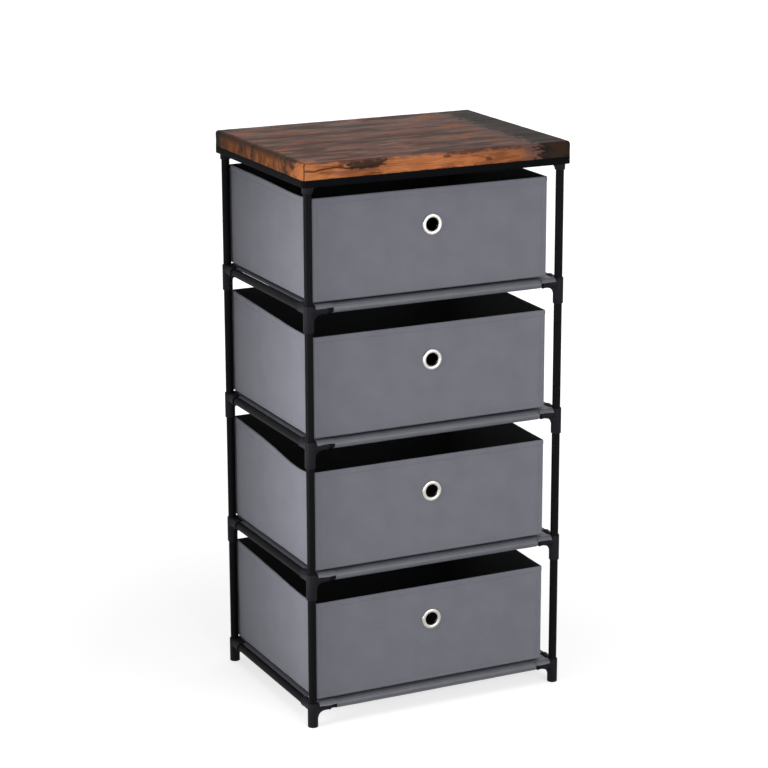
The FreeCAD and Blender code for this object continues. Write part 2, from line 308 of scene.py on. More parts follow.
def spunbond_nonwoven(tree, finish, roughness, sheen):
    """Polypropylene filaments bonded by a hot embossed roller: matt, faintly mottled, with a grid of dots."""
    mottle_size, fibre_size, dot_pitch = 45.45 * MM, 1.111 * MM, 1.4 * MM
    cloth = add_node(tree, "ShaderNodeUVMap", uv_map="cloth")
    mottle = add_node(tree, "ShaderNodeTexNoise", {
        "Vector": cloth, "Scale": 1 / mottle_size, "Detail": 5.0, "Roughness": 0.6})
    fibres = add_node(tree, "ShaderNodeTexNoise", {
        "Vector": cloth, "Scale": 1 / fibre_size, "Detail": 3.0, "Distortion": 1.5})
    dots = add_node(tree, "ShaderNodeTexVoronoi", {
        "Vector": cloth, "Scale": 1 / dot_pitch, "Randomness": 0.0}, voronoi_dimensions="2D")
    dimple = Reading(tree, dots.outputs["Distance"]).between(0.15, 0.4)
    shade = add_node(tree, "ShaderNodeMapRange", {
        "Value": mottle, "From Min": 0.3, "From Max": 0.7, "To Min": 0.93, "To Max": 1.06})
    dotted = add_node(tree, "ShaderNodeMapRange", {"Value": dimple, "To Min": 0.9, "To Max": 1.0})
    tone = Reading(tree, shade.outputs[0]) * dotted
    surface = Reading(tree, fibres.outputs[0]) + dimple
    return dyed_cloth(tree, finish, tone, surface, (0.5, 0.12), {
        "Roughness": roughness, "Specular IOR Level": 0.3, "Sheen Weight": sheen, "Sheen Roughness": 0.5})


@made_once
def spunbond_nonwoven_grey(tree):
    """Outside of the drawers: dyed grey, with a faint bloom at grazing angles."""
    return spunbond_nonwoven(tree, "outer_grey", 0.85, 0.1)


@made_once
def spunbond_nonwoven_black(tree):
    """Lining of the drawers: the same cloth in black, pressed a little smoother."""
    return spunbond_nonwoven(tree, "lining_black", 0.8, 0.05)


@made_once
def calendered_taffeta_grey(tree):
    """Calendered polyester taffeta of the shelf cloths: thin and tight, with a soft shine along a rail."""
    thread_pitch, slub_size = 0.5 * MM, 16.67 * MM
    cloth = add_node(tree, "ShaderNodeUVMap", uv_map="cloth")
    low, high, gap = (0.9, 0.9, 0.9, 1.0), (1.0, 1.0, 1.0, 1.0), (0.7, 0.7, 0.7, 1.0)
    weave = add_node(tree, "ShaderNodeTexBrick", {
        "Vector": cloth, "Scale": 1 / MM, "Brick Width": thread_pitch / MM, "Row Height": thread_pitch / MM,
        "Mortar Size": 0.12, "Mortar": gap, "Color1": low, "Color2": high})
    slubs = add_node(tree, "ShaderNodeTexNoise", {"Vector": cloth, "Scale": 1 / slub_size, "Detail": 4.0})
    shade = add_node(tree, "ShaderNodeMapRange", {
        "Value": slubs, "From Min": 0.3, "From Max": 0.7, "To Min": 0.9, "To Max": 1.08})
    return dyed_cloth(tree, "shelf_grey", shade, weave, (0.3, 0.08), {
        "Roughness": 0.45, "Specular IOR Level": 0.4})


@made_once
def rustic_wood_print_film(tree, low, high):
    """Melamine film printed with weathered plank: dull red-brown above, orange edges, burnt right end, with a
    painted highlight at the front left corner and painted shade along the lower edge of the long faces.

    low and high are the board's corners. The print is laid out in millimetres from the middle of its top.
    """
    char, dark, umber, brown, red, pale, orange, light = (
        rgba("wood_" + name) for name in ("char", "dark", "umber", "brown", "red", "pale", "orange", "light"))
    middle, half = (low + high) / 2 / MM, (high - low) / 2 / MM
    place = add_node(tree, "ShaderNodeTexCoord").outputs["Object"]
    on_board = add_node(tree, "ShaderNodeMapping", {
        "Vector": place, "Scale": (1 / MM,) * 3, "Location": (-middle.x, -middle.y, -high.z / MM)})
    x, y, z = (Reading(tree, axis) for axis in add_node(tree, "ShaderNodeSeparateXYZ", {0: on_board}).outputs)

    def grain(mark, offset=0.0, **sockets):
        """Noise whose marks are that many millimetres long along each axis."""
        scaled = add_node(tree, "ShaderNodeMapping", {
            "Vector": on_board, "Scale": [1 / size for size in mark], "Location": (offset,) * 3})
        return Reading(tree, add_node(tree, "ShaderNodeTexNoise", {
            "Vector": scaled, "Scale": 1.0, "Detail": 5.0, "Roughness": 0.6, **sockets}).outputs[0])

    def painted(ground, *coats):
        """The ground under coats of colour, each laid on through its mask."""
        for mask, colour in coats:
            ground = add_node(tree, "ShaderNodeMix", {0: mask, MIX_A: ground, MIX_B: colour},
                              data_type="RGBA").outputs[MIX_RESULT]
        return ground

    ragged = grain((11.0, 11.0, 4.0), 7.7, Detail=4.0).between(0.3, 0.7, -0.5, 0.5)

    def spot(centre, reach, height, drop, strength):
        """Ragged ellipse on the long edges, at a place along X and a height."""
        across, above = (x - centre) * (1 / reach), (z - height) * (1 / drop)
        return (across * across + above * above + ragged).between(1.4, 0.6, 0.0, strength)

    # top: flowing grain along X, grey-brown with reddish, pale and dark stretches
    flow = grain((190.0, 19.0, 60.0), Roughness=0.55, Distortion=0.7)
    fine = grain((80.0, 2.0, 2.0), Detail=4.0, Distortion=0.4)
    top = painted(
        add_node(tree, "ShaderNodeValToRGB", {"Fac": flow}, stops=(
            (0.34, char), (0.42, brown), (0.47, red), (0.51, brown), (0.57, pale), (0.62, red),
            (0.68, brown))),
        (fine.between(0.42, 0.68, 0.0, 0.45), dark),
        (grain((95.0, 42.0, 60.0), 9.4).between(0.52, 0.64, 0.0, 0.7), orange),
        (grain((120.0, 36.0, 60.0), 5.9).between(0.48, 0.6, 0.0, 0.75), dark))

    # long edges: orange heartwood, lighter in a stretch left of the middle, with a grey patch and two knots,
    # and painted shade along their lower edge
    patches = grain((60.0, 60.0, 11.0), 3.1, Roughness=0.5, Distortion=0.6)
    lines = grain((70.0, 70.0, 1.8), 1.7, Detail=4.0, Distortion=0.5)
    edge = painted(
        add_node(tree, "ShaderNodeValToRGB", {"Fac": patches}, stops=(
            (0.30, umber), (0.42, orange), (0.54, light), (0.66, orange))),
        (spot(-50.0, 55.0, -13.0, 20.0, 0.6), light),
        (lines.between(0.46, 0.66, 0.0, 0.7), red),
        (x.between(20.0, 110.0, 0.0, 0.35), umber),
        ((x * 0.012 + z * 0.2).between(-1.2, 1.6, 0.0, 0.75), brown),
        (spot(-126.0, 38.0, -5.0, 9.0, 0.95), dark),
        (spot(12.0, 7.0, -6.0, 3.0, 0.7), dark),
        (spot(84.0, 5.0, -16.0, 3.5, 0.7), dark),
        (spot(44.0, 30.0, -1.0, 5.0, 0.7), dark),
        # painted shade: dark along the lower edge of the long faces, where the board turns under
        ((z + ragged.between(-0.5, 0.5, 0.0, 2.5)).between(-22.0, -24.5, 0.0, 0.7), dark))

    # short edges: sawn ends, dark above and orange below, with broken upright streaks and two splits
    streaks = grain((60.0, 17.0, 30.0), 4.4, Detail=6.0, Roughness=0.62, Distortion=1.2)
    bristle = grain((60.0, 3.5, 16.0), 6.1, Detail=3.0, Distortion=0.8)
    end = painted(
        add_node(tree, "ShaderNodeValToRGB", {"Fac": streaks}, stops=(
            (0.36, char), (0.48, umber), (0.60, orange), (0.72, light))),
        (bristle.between(0.42, 0.66, 0.0, 0.7), umber),
        ((z + streaks * 24.0).between(-2.0, 12.0, 0.0, 0.85), dark),
        (abs(y - 19.0 + ragged * 8.0).between(5.0, 1.5, 0.0, 0.8), char),
        (abs(y + 107.0 + ragged * 8.0).between(5.0, 1.5, 0.0, 0.8), char))

    # where each shows
    from_left, from_right = x + half.x, x * -1.0 + half.x
    from_front, from_back = y + half.y, y * -1.0 + half.y
    from_ends, from_sides = from_left.least(from_right), from_front.least(from_back)
    from_edge = from_ends.least(from_sides)
    at_end = (from_sides - from_ends).between(-1.0, 1.5)
    on_edge = (from_edge - at_end * 7.0 + ragged * 6.0).between(5.0, -2.0).most(z.between(-4.0, -5.5))

    # front left corner: a pale ridge that is a painted highlight of the rounded edges, with cracks along the
    # top, down the corner and along the front
    from_corner = from_left.most(from_front)
    corner_highlight = (from_corner + ragged * 16.0).between(40.0, 14.0, 0.0, 0.75) * fine.between(0.7, 0.4, 0.5, 1.0)
    wander = grain((52.0, 52.0, 60.0), 2.2, Detail=2.5).between(0.3, 0.7, -2.6, 2.6)
    along_top = abs(from_edge - 6.0 + wander).between(2.8, 0.8) * from_corner.between(105.0, 60.0)
    down_corner = abs(from_left - from_front + wander).between(2.4, 0.8) * from_corner.between(9.0, 7.0)
    along_front = abs(z + x.between(-230.0, -150.0, 12.5, 9.5) + wander).between(2.6, 0.4)
    along_front = along_front * x.between(-70.0, -125.0) * from_sides.between(2.0, 1.0)
    cracks = (along_top * z.between(-4.0, -3.0)).most(down_corner).most(along_front)

    # burnt right end with grey-brown before it, burnt back left corner, dark line along the back
    right_end, back_left = from_right + ragged * 22.0, from_left.most(from_back) + ragged * 6.0
    burnt = painted(char, (streaks.between(0.44, 0.64, 0.0, 0.9), dark))
    # the light coat at the front left corner is a painted highlight
    body = painted(
        top, (on_edge, painted(edge, (at_end, end))), (corner_highlight, light), (cracks * 0.8, char),
        (right_end.between(96.0, 66.0, 0.0, 0.7), brown), (right_end.between(66.0, 50.0), burnt),
        (back_left.between(30.0, 20.0), burnt), (from_back.between(6.0, 3.0, 0.0, 0.8), dark))

    bump = add_node(tree, "ShaderNodeBump", {
        "Height": fine * 0.5 + lines * 0.5, "Strength": 0.3, "Distance": 0.12 * MM})
    return add_node(tree, "ShaderNodeBsdfPrincipled", {
        "Base Color": body, "Roughness": flow.between(0.3, 0.7, 0.46, 0.58), "IOR": 1.22,
        "Specular IOR Level": 0.1, "Normal": bump})


def seen_directly(tree):
    """1 for what the camera sees, also in a mirror or through glass, and 0 for what lights the dresser."""
    rays = add_node(tree, "ShaderNodeLightPath").outputs
    return Reading(tree, rays["Is Camera Ray"]).most(rays["Is Glossy Ray"]).most(rays["Is Transmission Ray"])


@made_once
def studio_sweep(tree):
    """Matt white sweep. The camera and mirrors see it brightened, more so away from the dresser's shadow."""
    paper = add_node(tree, "ShaderNodeBsdfDiffuse", {"Color": (0.5, 0.5, 0.5, 1.0)})
    place = add_node(tree, "ShaderNodeTexCoord").outputs["Object"]
    away = add_node(tree, "ShaderNodeVectorMath", {0: place}, operation="LENGTH").outputs["Value"]
    glow_here = add_node(tree, "ShaderNodeMapRange", {
        "Value": away, "From Min": 0.5, "From Max": 2.0, "To Min": FLOOR_LIFT, "To Max": 1.0})
    glow = add_node(tree, "ShaderNodeEmission", {"Strength": seen_directly(tree) * glow_here})
    return add_node(tree, "ShaderNodeAddShader", {0: paper, 1: glow})


# ---- mesh helpers ----
def new_object(name, data, *materials):
    """Object in the scene that shows a mesh with its materials, a lamp or a camera."""
    for material in materials:
        data.materials.append(material)
    thing = bpy.data.objects.new(name, data)
    bpy.context.scene.collection.objects.link(thing)
    return thing


def set_smooth(bm, smooth_angle):
    """Shades every face smoothly, with a crease where two meet at more than the angle."""
    for face in bm.faces:
        face.smooth = True
    for edge in bm.edges:
        edge.smooth = len(edge.link_faces) == 2 and edge.calc_face_angle(0.0) < math.radians(smooth_angle)


def mesh_from(bm, name, smooth_angle=35.0):
    """Closes the drawing of a mesh: merged, faced outwards, smooth except at its edges."""
    bmesh.ops.remove_doubles(bm, verts=bm.verts, dist=0.01 * MM)
    bmesh.ops.recalc_face_normals(bm, faces=bm.faces)
    set_smooth(bm, smooth_angle)
    mesh = bpy.data.meshes.new(name)
    bm.to_mesh(mesh)
    bm.free()
    return mesh


def show_piece(piece, body, slot, *nodes):
    """The piece moves with its body and stands for its construction nodes, which it hides. slot is not used.
    """
    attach(piece, body)
    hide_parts(*nodes)


def turned_mesh(name, section, start, axis):
    """Turns a section of (radius, along) pairs about an axis. It starts and ends on the axis, or closes."""
    turn = Vector((0, 0, 1)).rotation_difference(axis)
    bm = bmesh.new()
    rings = []
    for radius, along in section:
        on_axis = radius < MM * 1e-3
        angles = [2 * math.pi * step / ROUND_STEPS for step in range(1 if on_axis else ROUND_STEPS)]
        spokes = [turn @ Vector((radius * math.cos(angle), radius * math.sin(angle), 0)) for angle in angles]
        rings.append([bm.verts.new(start + axis * along + spoke) for spoke in spokes])
    closes = len(rings[0]) > 1
    for near, far in zip(rings, rings[1:] + rings[:1] if closes else rings[1:]):
        for step in range(ROUND_STEPS):
            ahead = (step + 1) % ROUND_STEPS
            corners = (near[step % len(near)], near[ahead % len(near)],
                       far[ahead % len(far)], far[step % len(far)])
            bm.faces.new(list(dict.fromkeys(corners)))
    return mesh_from(bm, name)


def skinned(bm, rings):
    """Faces between neighbouring rings of vertices: (face, number of the ring, place, place ahead)."""
    faces = []
    for number, (near, far) in enumerate(zip(rings, rings[1:])):
        for place in range(len(near)):
            ahead = (place + 1) % len(near)
            face = bm.faces.new((near[place], near[ahead], far[ahead], far[place]))
            faces.append((face, number, place, ahead))
    return faces


def finished_mesh(thing):
    """Plain mesh of an object with its modifiers applied. The object goes."""
    name = thing.name
    graph = bpy.context.evaluated_depsgraph_get()
    mesh = bpy.data.meshes.new_from_object(thing.evaluated_get(graph), depsgraph=graph)
    bpy.data.objects.remove(thing)
    mesh.name = name
    return mesh


def combined(name, base, others, operation):
    """The base mesh joined with, or cut by, the others."""
    whole = new_object(name, base)
    tools = [new_object("%s_tool_%d" % (name, index), other) for index, other in enumerate(others)]
    for tool in tools:
        modifier = whole.modifiers.new("tool", "BOOLEAN")
        modifier.operation, modifier.solver, modifier.object = operation, "MANIFOLD", tool
    result = finished_mesh(whole)
    for tool in tools:
        bpy.data.objects.remove(tool)
    return result


def sides_of(low, high, radius):
    """Sides of a box from above, between its round corners: (start, along, outward, length), front first."""
    places = (low.x, low.y), (high.x, low.y), (high.x, high.y), (low.x, high.y)
    corners = [Vector(place) for place in places]
    for corner, following in zip(corners, corners[1:] + corners[:1]):
        along = (following - corner).normalized()
        outward = Vector((along.y, -along.x))
        yield corner + along * radius, along, outward, (following - corner).length - 2 * radius


def unevenness(place):
    """Smooth noise of three octaves, about -1 to 1."""
    return noise.fractal(place, 1.0, 2.0, 3)


# ---- places on the frame ----
def post_axis(corner):
    """Middle of a corner's uprights, seen from above."""
    low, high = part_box("upright_%s_1" % corner)
    return Vector(((low.x + high.x) / 2, (low.y + high.y) / 2, 0))


def rail_axis(side, level):
    """Middle of a rail."""
    low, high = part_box("%s_rail_level_%d" % (side, level))
    return (low + high) / 2


def sleeve_top(level):
    """Height of the connectors' sleeve tops at a frame level."""
    return rail_axis("front", level).z + settings("frame").arm_drop


# ---- tubes ----
def tube_mesh(name, node):
    """Straight steel tube in the place of its node."""
    sizes = settings("frame")
    low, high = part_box(node)
    spans = high - low
    axis = max(range(3), key=lambda i: spans[i])
    direction = Vector([1.0 if i == axis else 0.0 for i in range(3)])
    start = (low + high) / 2
    start[axis] = low[axis]
    outer = sizes.tube_diameter / 2
    inner = outer - sizes.tube_wall
    section = [(outer, 0.0), (outer, spans[axis]), (inner, spans[axis]), (inner, 0.0)]
    return turned_mesh(name, section, start, direction)


class DRESSER_OT_tubes(bpy.types.Operator):
    """Powder-coated uprights and rails"""
    bl_idname = "dresser.tubes"
    bl_label = "Tubes"

    def execute(self, context):
        nodes = ["upright_%s_%d" % (corner, tier) for corner in CORNERS for tier in range(1, TIERS + 1)]
        nodes += ["%s_rail_level_%d" % (side, level)
                  for side in ("front", "back", "left", "right") for level in range(1, TIERS + 2)]
        for node in nodes:
            tube = new_object(node + "_tube", tube_mesh(node + "_tube", node), black_powder_coated_steel())
            show_piece(tube, "frame", "tube", node)
        return {"FINISHED"}


# ---- connectors ----
def arm_section(sizes):
    """Solid arm with its ring, from the upright axis to its mouth."""
    arm, lip = sizes.arm_diameter / 2, sizes.lip_diameter / 2
    reach, start = sizes.arm_reach, sizes.arm_reach - sizes.lip_width
    soft = 0.5 * MM
    return [(0, 0), (arm, 0), (arm, start), (lip - soft / 2, start + soft / 4), (lip, start + soft),
            (lip, reach - soft), (lip - soft, reach), (0, reach)]


def socket_section(sizes):
    """Bore with a broken edge, from its mouth inwards."""
    bore, depth = sizes.socket_diameter / 2, sizes.socket_depth
    lead = 0.4 * MM
    return [(0, -lead), (bore + 2 * lead, -lead), (bore, lead), (bore, depth), (0, depth)]


def gusset_mesh(sizes, direction, drop):
    """Web in the corner under an arm, with a hollow free edge."""
    sleeve, root = sizes.sleeve_diameter / 2, 3.0 * MM
    underside = -sizes.arm_drop - sizes.arm_diameter / 2
    reach = sleeve + sizes.gusset_reach
    steps, hollow = 10, 0.21
    outline = [(sleeve - root, underside - drop), (sleeve - root, underside + root),
               (reach, underside + root)]
    for step in range(steps + 1):
        t = step / steps
        pull = hollow * math.sin(math.pi * t)
        outline.append((reach - sizes.gusset_reach * (t + pull), underside - drop * (t - pull)))
    side = Vector((0, 0, 1)).cross(direction) * (sizes.gusset_thickness / 2)
    bm = bmesh.new()
    faces = [[bm.verts.new(direction * out + Vector((0, 0, height)) + offset) for out, height in outline]
             for offset in (-side, side)]
    skinned(bm, faces)
    for face in faces:
        bm.faces.new(face)
    bmesh.ops.recalc_face_normals(bm, faces=bm.faces)
    edges = [edge for edge in bm.edges if edge.calc_face_angle(0.0) > math.radians(60)]
    bmesh.ops.bevel(bm, geom=edges, offset=0.6 * MM, segments=2, affect="EDGES", profile=0.5)
    return mesh_from(bm, "gusset")


def connector_mesh(name, length, open_top, open_bottom):
    """One connector, its top at z = 0 on its upright axis, with arms along +X and +Y."""
    sizes = settings("frame")
    radius, chamfer = sizes.sleeve_diameter / 2, sizes.sleeve_chamfer
    origin, down = Vector((0, 0, 0)), Vector((0, 0, -1))
    end = [(0, 0), (radius - chamfer, 0), (radius - chamfer * 0.3, 0.3 * chamfer), (radius, chamfer)]
    sleeve = end + [(out, length - along) for out, along in reversed(end)]
    arm_height = down * sizes.arm_drop
    drop = min(sizes.gusset_drop, length - sizes.arm_drop - sizes.arm_diameter / 2 - chamfer)
    solids, mouths = [], []
    for direction in (Vector((1, 0, 0)), Vector((0, 1, 0))):
        solids.append(turned_mesh("arm", arm_section(sizes), arm_height, direction))
        solids.append(gusset_mesh(sizes, direction, drop))
        mouths.append((arm_height + direction * sizes.arm_reach, -direction))
    if open_top:
        mouths.append((origin, down))
    if open_bottom:
        mouths.append((down * length, -down))
    bores = [turned_mesh("bore", socket_section(sizes), mouth, inwards) for mouth, inwards in mouths]
    whole = combined(name, turned_mesh("sleeve", sleeve, origin, down), solids, "UNION")
    return combined(name, whole, bores, "DIFFERENCE")


class DRESSER_OT_connectors(bpy.types.Operator):
    """Moulded corner connectors, with sockets, ringed arms and gussets"""
    bl_idname = "dresser.connectors"
    bl_label = "Connectors"

    def execute(self, context):
        pitch = sleeve_top(2) - sleeve_top(1)
        tube_low, tube_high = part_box("upright_front_left_1")
        middle_length = pitch + 2 * settings("frame").socket_depth - (tube_high.z - tube_low.z)
        top_low = sleeve_top(TIERS) + pitch - middle_length
        foot = connector_mesh("foot", sleeve_top(1), True, False)
        top = connector_mesh("top", sleeve_top(TIERS + 1) - top_low, False, True)
        middle = connector_mesh("middle", middle_length, True, True)
        kinds = [("foot_connectors", foot, 1), ("top_connectors", top, TIERS + 1)]
        kinds += [("corner_connectors_level_%d" % level, middle, level) for level in range(2, TIERS + 1)]
        for node, mesh, level in kinds:
            bm = bmesh.new()
            for corner, turn in CORNERS.items():
                copy = mesh.copy()
                place = post_axis(corner) + Vector((0, 0, sleeve_top(level)))
                copy.transform(Matrix.Translation(place) @ Matrix.Rotation(math.radians(turn), 4, "Z"))
                bm.from_mesh(copy)
            set_smooth(bm, 32.0)
            whole = bpy.data.meshes.new(node)
            bm.to_mesh(whole)
            bm.free()
            piece = new_object(node + "_moulded", whole, moulded_polypropylene_black())
            show_piece(piece, "frame", "connector", node)
        return {"FINISHED"}


# ---- shelf cloths ----
def cloth_noise(x, around, level):
    """Small creases that run along a rail."""
    return unevenness(Vector((x / (45 * MM), around * 3.0, level * 7.3)))


def shelf_cloth_mesh(level):
    """Sheet between the front and back rails: sewn round both, and laid over the arms beside them."""
    frame_sizes, sizes = settings("frame"), settings("cloth")
    axis_front, axis_back = rail_axis("front", level), rail_axis("back", level)
    low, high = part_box("shelf_cloth_level_%d" % level)
    left, right = post_axis("front_left").x, post_axis("front_right").x
    slits = (left + sizes.sleeve_left, right - sizes.sleeve_right)
    beside_sleeves = (left + frame_sizes.sleeve_diameter / 2 + sizes.gap,
                      right - frame_sizes.sleeve_diameter / 2 - sizes.gap)
    wrap = frame_sizes.tube_diameter / 2 + sizes.ease + sizes.thickness / 2
    over_arm = frame_sizes.lip_diameter / 2 + sizes.ease + sizes.thickness / 2
    sheet = axis_front.z + wrap
    half_span = (axis_back.y - axis_front.y) / 2
    tuck = 14.0 * MM        # from a rail's axis to where its wrap or flap has become the sheet
    sag_size, most_sag = 70 * MM, 0.25 * MM

    def rail_sleeve(x):
        """Path from the seam under the sheet, round the rail, to its top: (towards the middle, height)."""
        path, most_inwards = [], -0.05 * MM
        seam_angle, turn, steps = 40, 310, 21
        for step in range(steps + 1):
            angle = math.radians(seam_angle - turn * step / steps)
            radius = wrap + max(sizes.wrinkle * cloth_noise(x, angle, level), most_inwards)
            path.append((radius * math.cos(angle), radius * math.sin(angle)))
        return path

    def arm_flap(x):
        """Path from the loose edge beside an arm, over it and down to the sheet, with as many points."""
        fold_at, fold_width, fold_height = slits[0] - 11 * MM, 2.2 * MM, 0.9 * MM
        fold = fold_height * math.exp(-((x - fold_at) / fold_width) ** 2)
        edge_angle = 163 + 9 * noise.noise(Vector((x / (20 * MM), level * 3.1, 0)))
        leave_angle, steps, run_down_steps = 52, 16, 5
        path = []
        for step in range(steps + 1):
            angle = math.radians(edge_angle - (edge_angle - leave_angle) * step / steps)
            radius = over_arm + fold * max(0.0, 1 - step / 9) + 0.1 * MM * cloth_noise(x, angle, level + 2)
            path.append((radius * math.cos(angle), radius * math.sin(angle)))
        last_out, last_up = path[-1]
        for step in range(1, run_down_steps + 1):
            t = step / run_down_steps
            path.append((last_out + (tuck - last_out) * t, last_up + (wrap - last_up) * t * t * (3 - 2 * t)))
        # uncut from the top of the rail backwards, where the flap meets the sleeve beside it
        near = max(0.0, 1 - min(abs(x - slit) for slit in slits) / (4 * MM))
        joined = []
        for out, up in path:
            sleeve = math.sqrt(max(wrap ** 2 - min(out, 0.0) ** 2, 0.0))
            joined.append((out, up - (up - sleeve) * near * min(max(out / (3 * MM) + 5 / 3, 0.0), 1.0)))
        return joined

    wing = half_span - frame_sizes.arm_reach - sizes.gap        # where the cloth may lie over a side rail
    run_in = half_span - tuck
    across = [-run_in, -(run_in + wing) / 2] + [wing * (step / 13 - 1) for step in range(27)]
    across += [(run_in + wing) / 2, run_in]

    def column(x, edge_path):
        """Strip from front to back at one x, or only between the connector arms if it has no edge path."""
        inner = []
        for y in across if edge_path else across[2:-2]:
            sag = most_sag * noise.noise(Vector((x / sag_size, y / sag_size, level * 5.0)))
            inner.append(Vector((x, y, sheet + sag * math.cos(math.pi * y / (2 * half_span)))))
        if not edge_path:
            return inner
        start = [Vector((x, axis_front.y + out, axis_front.z + up)) for out, up in edge_path(x)]
        end = [Vector((x, axis_back.y - out, axis_back.z + up)) for out, up in reversed(edge_path(x))]
        return start + inner + end

    bm = bmesh.new()
    cloth_uv = bm.loops.layers.uv.new("cloth")
    length = 0.0
    edges_x = (low.x, beside_sleeves[0], slits[0], slits[1], beside_sleeves[1], high.x)
    edge_paths = (None, arm_flap, rail_sleeve, arm_flap, None)
    for start_x, end_x, edge_path in zip(edges_x, edges_x[1:], edge_paths):
        count = max(3, round((end_x - start_x) / (3 * MM)))
        columns = [column(start_x + (end_x - start_x) * i / count, edge_path) for i in range(count + 1)]
        rows = [[bm.verts.new(point) for point in points] for points in columns]
        runs = [0.0]
        for here, following in zip(columns[0], columns[0][1:]):
            runs.append(runs[-1] + (following - here).length)
        for i in range(count):
            for j in range(len(runs) - 1):
                face = bm.faces.new((rows[i][j], rows[i + 1][j], rows[i + 1][j + 1], rows[i][j + 1]))
                corners = ((i, j), (i + 1, j), (i + 1, j + 1), (i, j + 1))
                for loop, (sideways, along) in zip(face.loops, corners):
                    loop[cloth_uv].uv = (columns[sideways][0].x, runs[along] + columns[sideways][0].y)
        length = max(length, runs[-1])
    mesh = mesh_from(bm, "shelf_cloth_level_%d_sheet" % level, smooth_angle=70.0)
    return mesh, (high.x - low.x, length)


class DRESSER_OT_shelf_cloths(bpy.types.Operator):
    """Shelf cloths, sewn round their front and back rails"""
    bl_idname = "dresser.shelf_cloths"
    bl_label = "Shelf cloths"

    def execute(self, context):
        sizes = settings("cloth")
        for level in range(1, TIERS + 1):
            node = "shelf_cloth_level_%d" % level
            mesh, flat = shelf_cloth_mesh(level)
            sheet = new_object(node + "_sheet", mesh, calendered_taffeta_grey())
            solid = sheet.modifiers.new("cloth", "SOLIDIFY")
            solid.thickness = sizes.thickness
            solid.offset = 0.0
            show_piece(sheet, "frame", "cloth", node)
        return {"FINISHED"}


# ---- drawers ----
Station = namedtuple("Station", "place outward run panel along length")
LEFT_PANEL = 3                                          # panels are numbered round from the front
STATION_SPACING = 6 * MM
CREASE_SIZE, CREASE_HEIGHT = 60 * MM, 0.35 * MM
GROOVE_HALF_WIDTH, GROOVE_DEPTH = 0.7 * MM, 0.45 * MM   # of the channel along an upright seam
MOST_BULGE, MOST_BULGE_LEFT = 3.0 * MM, 0.7 * MM        # what the posts leave room for


class Wall:
    """The upright wall of one drawer: where a point lies for a station round it, a height and an inset."""

    def __init__(self, drawer):
        self.sizes = settings("drawer")
        self.up_at_back, self.sag = (millimetres * MM for millimetres in RIMS[drawer])
        self.low, self.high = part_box("drawer_%d_bin" % drawer)
        self.high.y += self.sizes.back_fullness
        self.height = self.high.z - self.low.z
        self.seam = self.sizes.seam_inset - self.sizes.corner_radius
        self.stations, self.run = [], 0.0
        for panel, side in enumerate(sides_of(self.low, self.high, self.sizes.corner_radius)):
            self.lay_panel(panel, *side)

    def lay_panel(self, panel, start, along, outward, length):
        """Stations along a panel, closer together at its seams, and round the corner after it."""
        radius, between_seams = self.sizes.corner_radius, length - 2 * self.seam
        plain = round(between_seams / STATION_SPACING)
        marks = [0.0, length] + [self.seam + between_seams * i / plain for i in range(1, plain)]
        for step in range(-2, 3):
            offset = step * GROOVE_HALF_WIDTH
            marks += [self.seam + offset, length - self.seam - offset]
        for mark in sorted(marks):
            self.stations.append(Station(start + along * mark, outward, self.run + mark, panel, mark, length))
        self.run += length
        centre = start + along * length - outward * radius
        for step in range(1, CORNER_STEPS):
            angle = math.pi / 2 * step / CORNER_STEPS
            spoke = outward * math.cos(angle) + along * math.sin(angle)
            place, run = centre + spoke * radius, self.run + radius * angle
            self.stations.append(Station(place, spoke, run, None, 0.0, 1.0))
        self.run += radius * math.pi / 2

    def shift(self, station, height):
        """How far the fabric stands out of its flat place there."""
        here = station.place.to_3d() + Vector((0, 0, self.low.z + height + self.sizes.seed))
        creases = CREASE_HEIGHT * unevenness(here / CREASE_SIZE)
        if station.panel is None:
            return 0.3 * creases
        fade = math.sin(math.pi * min(max(station.along / station.length, 0.0), 1.0)) ** 0.5
        bulge = self.sizes.bulge * math.sin(math.pi * height / self.height)
        return min((bulge + creases) * fade, MOST_BULGE_LEFT if station.panel == LEFT_PANEL else MOST_BULGE)

    def rim_rise(self, station):
        """How far the rim stands above its flat place there."""
        back = (station.place.y - self.low.y) / (self.high.y - self.low.y)
        rise = self.up_at_back * min(max(back, 0.0), 1.0) ** 1.5
        if station.panel == LEFT_PANEL:
            rise -= self.sag * math.sin(math.pi * (station.along / station.length) ** 3)
        return rise

    def off_seam(self, station):
        """How far a place is from the nearest upright seam."""
        if station.panel is None:
            return math.inf
        return min(abs(station.along - self.seam), abs(station.length - self.seam - station.along))

    def seam_groove(self, station):
        """Depth of the channel that the thread draws into the wall."""
        return GROOVE_DEPTH * math.exp(-(self.off_seam(station) / GROOVE_HALF_WIDTH) ** 2)

    def point(self, station, height, inset=0.0):
        """Where the fabric is at a station and a height, or so far behind its outer face."""
        flat = station.place + station.outward * (self.shift(station, height) - inset)
        rise = self.rim_rise(station) * max(height / self.height, 0.0) ** 1.5
        return Vector((flat.x, flat.y, self.low.z + height + rise))


